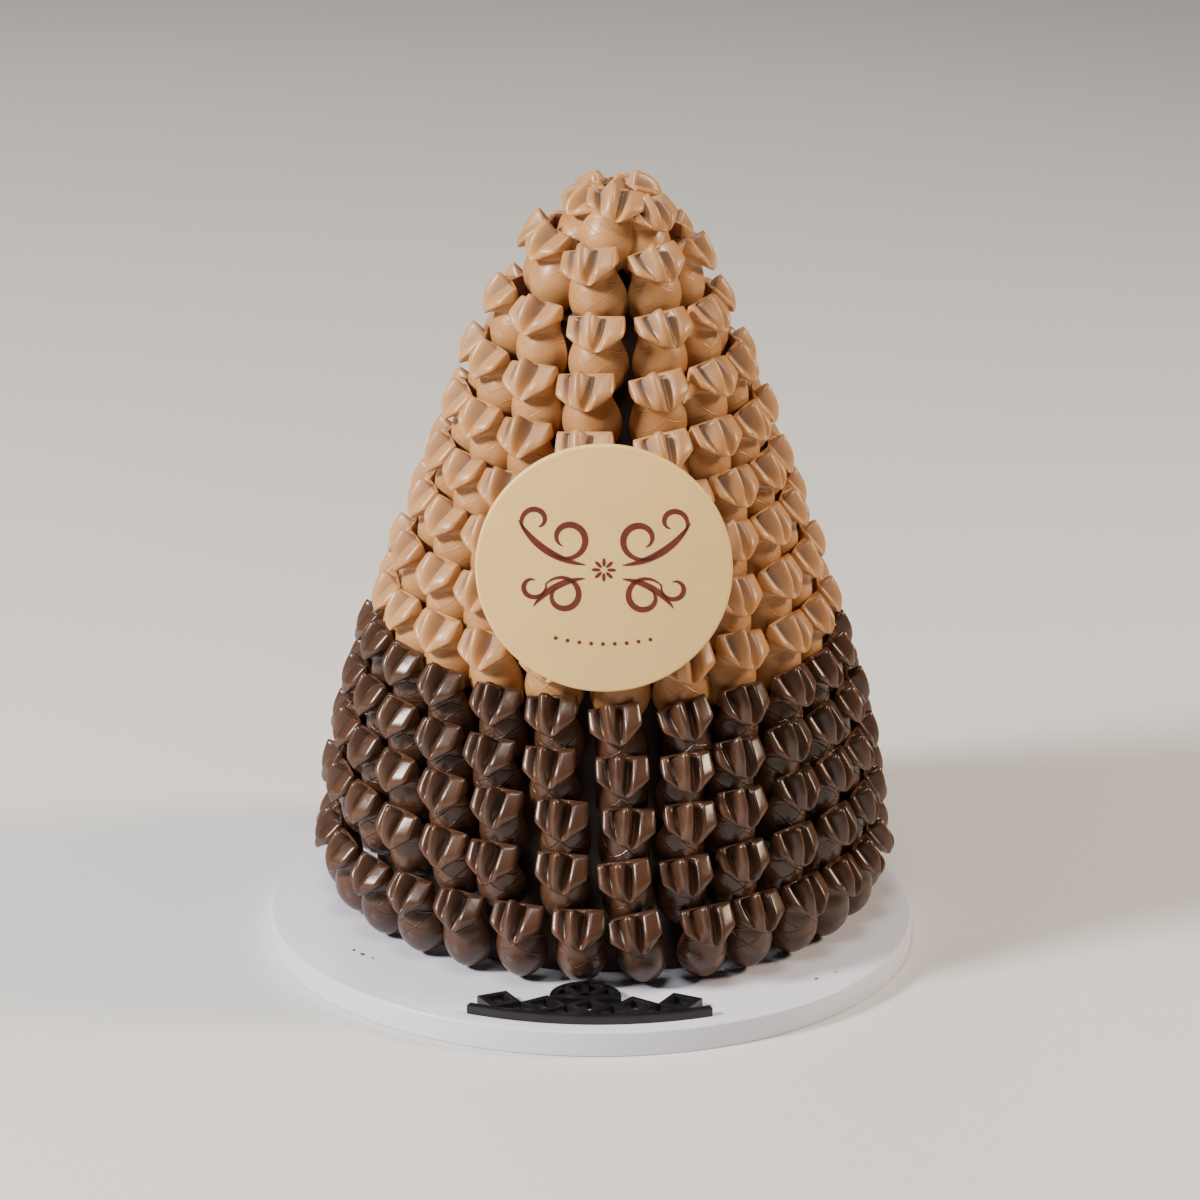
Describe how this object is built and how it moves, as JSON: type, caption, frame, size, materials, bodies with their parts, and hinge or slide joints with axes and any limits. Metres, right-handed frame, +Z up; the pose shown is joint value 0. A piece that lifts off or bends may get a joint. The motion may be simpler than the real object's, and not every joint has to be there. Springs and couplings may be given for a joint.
{
  "type": "chocolate pyramid",
  "caption": "Tall cone of overlapping rows of pineapple-shaped pralines, milk chocolate below and blond above, with a round plaque, on a round white board.",
  "frame": {"origin": "middle of the board's flat underside", "axes": "+Z up; the plaque and the ornament on the board face -Y; +X is to the right seen from the front"},
  "size_m": [0.3, 0.3053, 0.3586],
  "materials": {
    "board_white": "satin",
    "milk_chocolate": "satin",
    "blond_chocolate": "satin",
    "dark_chocolate": "satin",
    "plaque_print": "matte",
    "white_chocolate": "satin",
    "ornament_black": "gloss"
  },
  "bodies": {
    "root": {"board": "board_white", "row_01_milk": "milk_chocolate", "row_02_milk": "milk_chocolate", "row_03_milk": "milk_chocolate", "row_04_milk": "milk_chocolate", "row_05_milk": "milk_chocolate", "row_06_blond": "blond_chocolate", "row_07_blond": "blond_chocolate", "row_08_blond": "blond_chocolate", "row_09_blond": "blond_chocolate", "row_10_blond": "blond_chocolate", "row_11_blond": "blond_chocolate", "row_12_blond": "blond_chocolate", "row_13_blond": "blond_chocolate", "row_14_blond": "blond_chocolate", "plaque": "white_chocolate", "board_ornament": "ornament_black"}
  },
  "joints": []
}
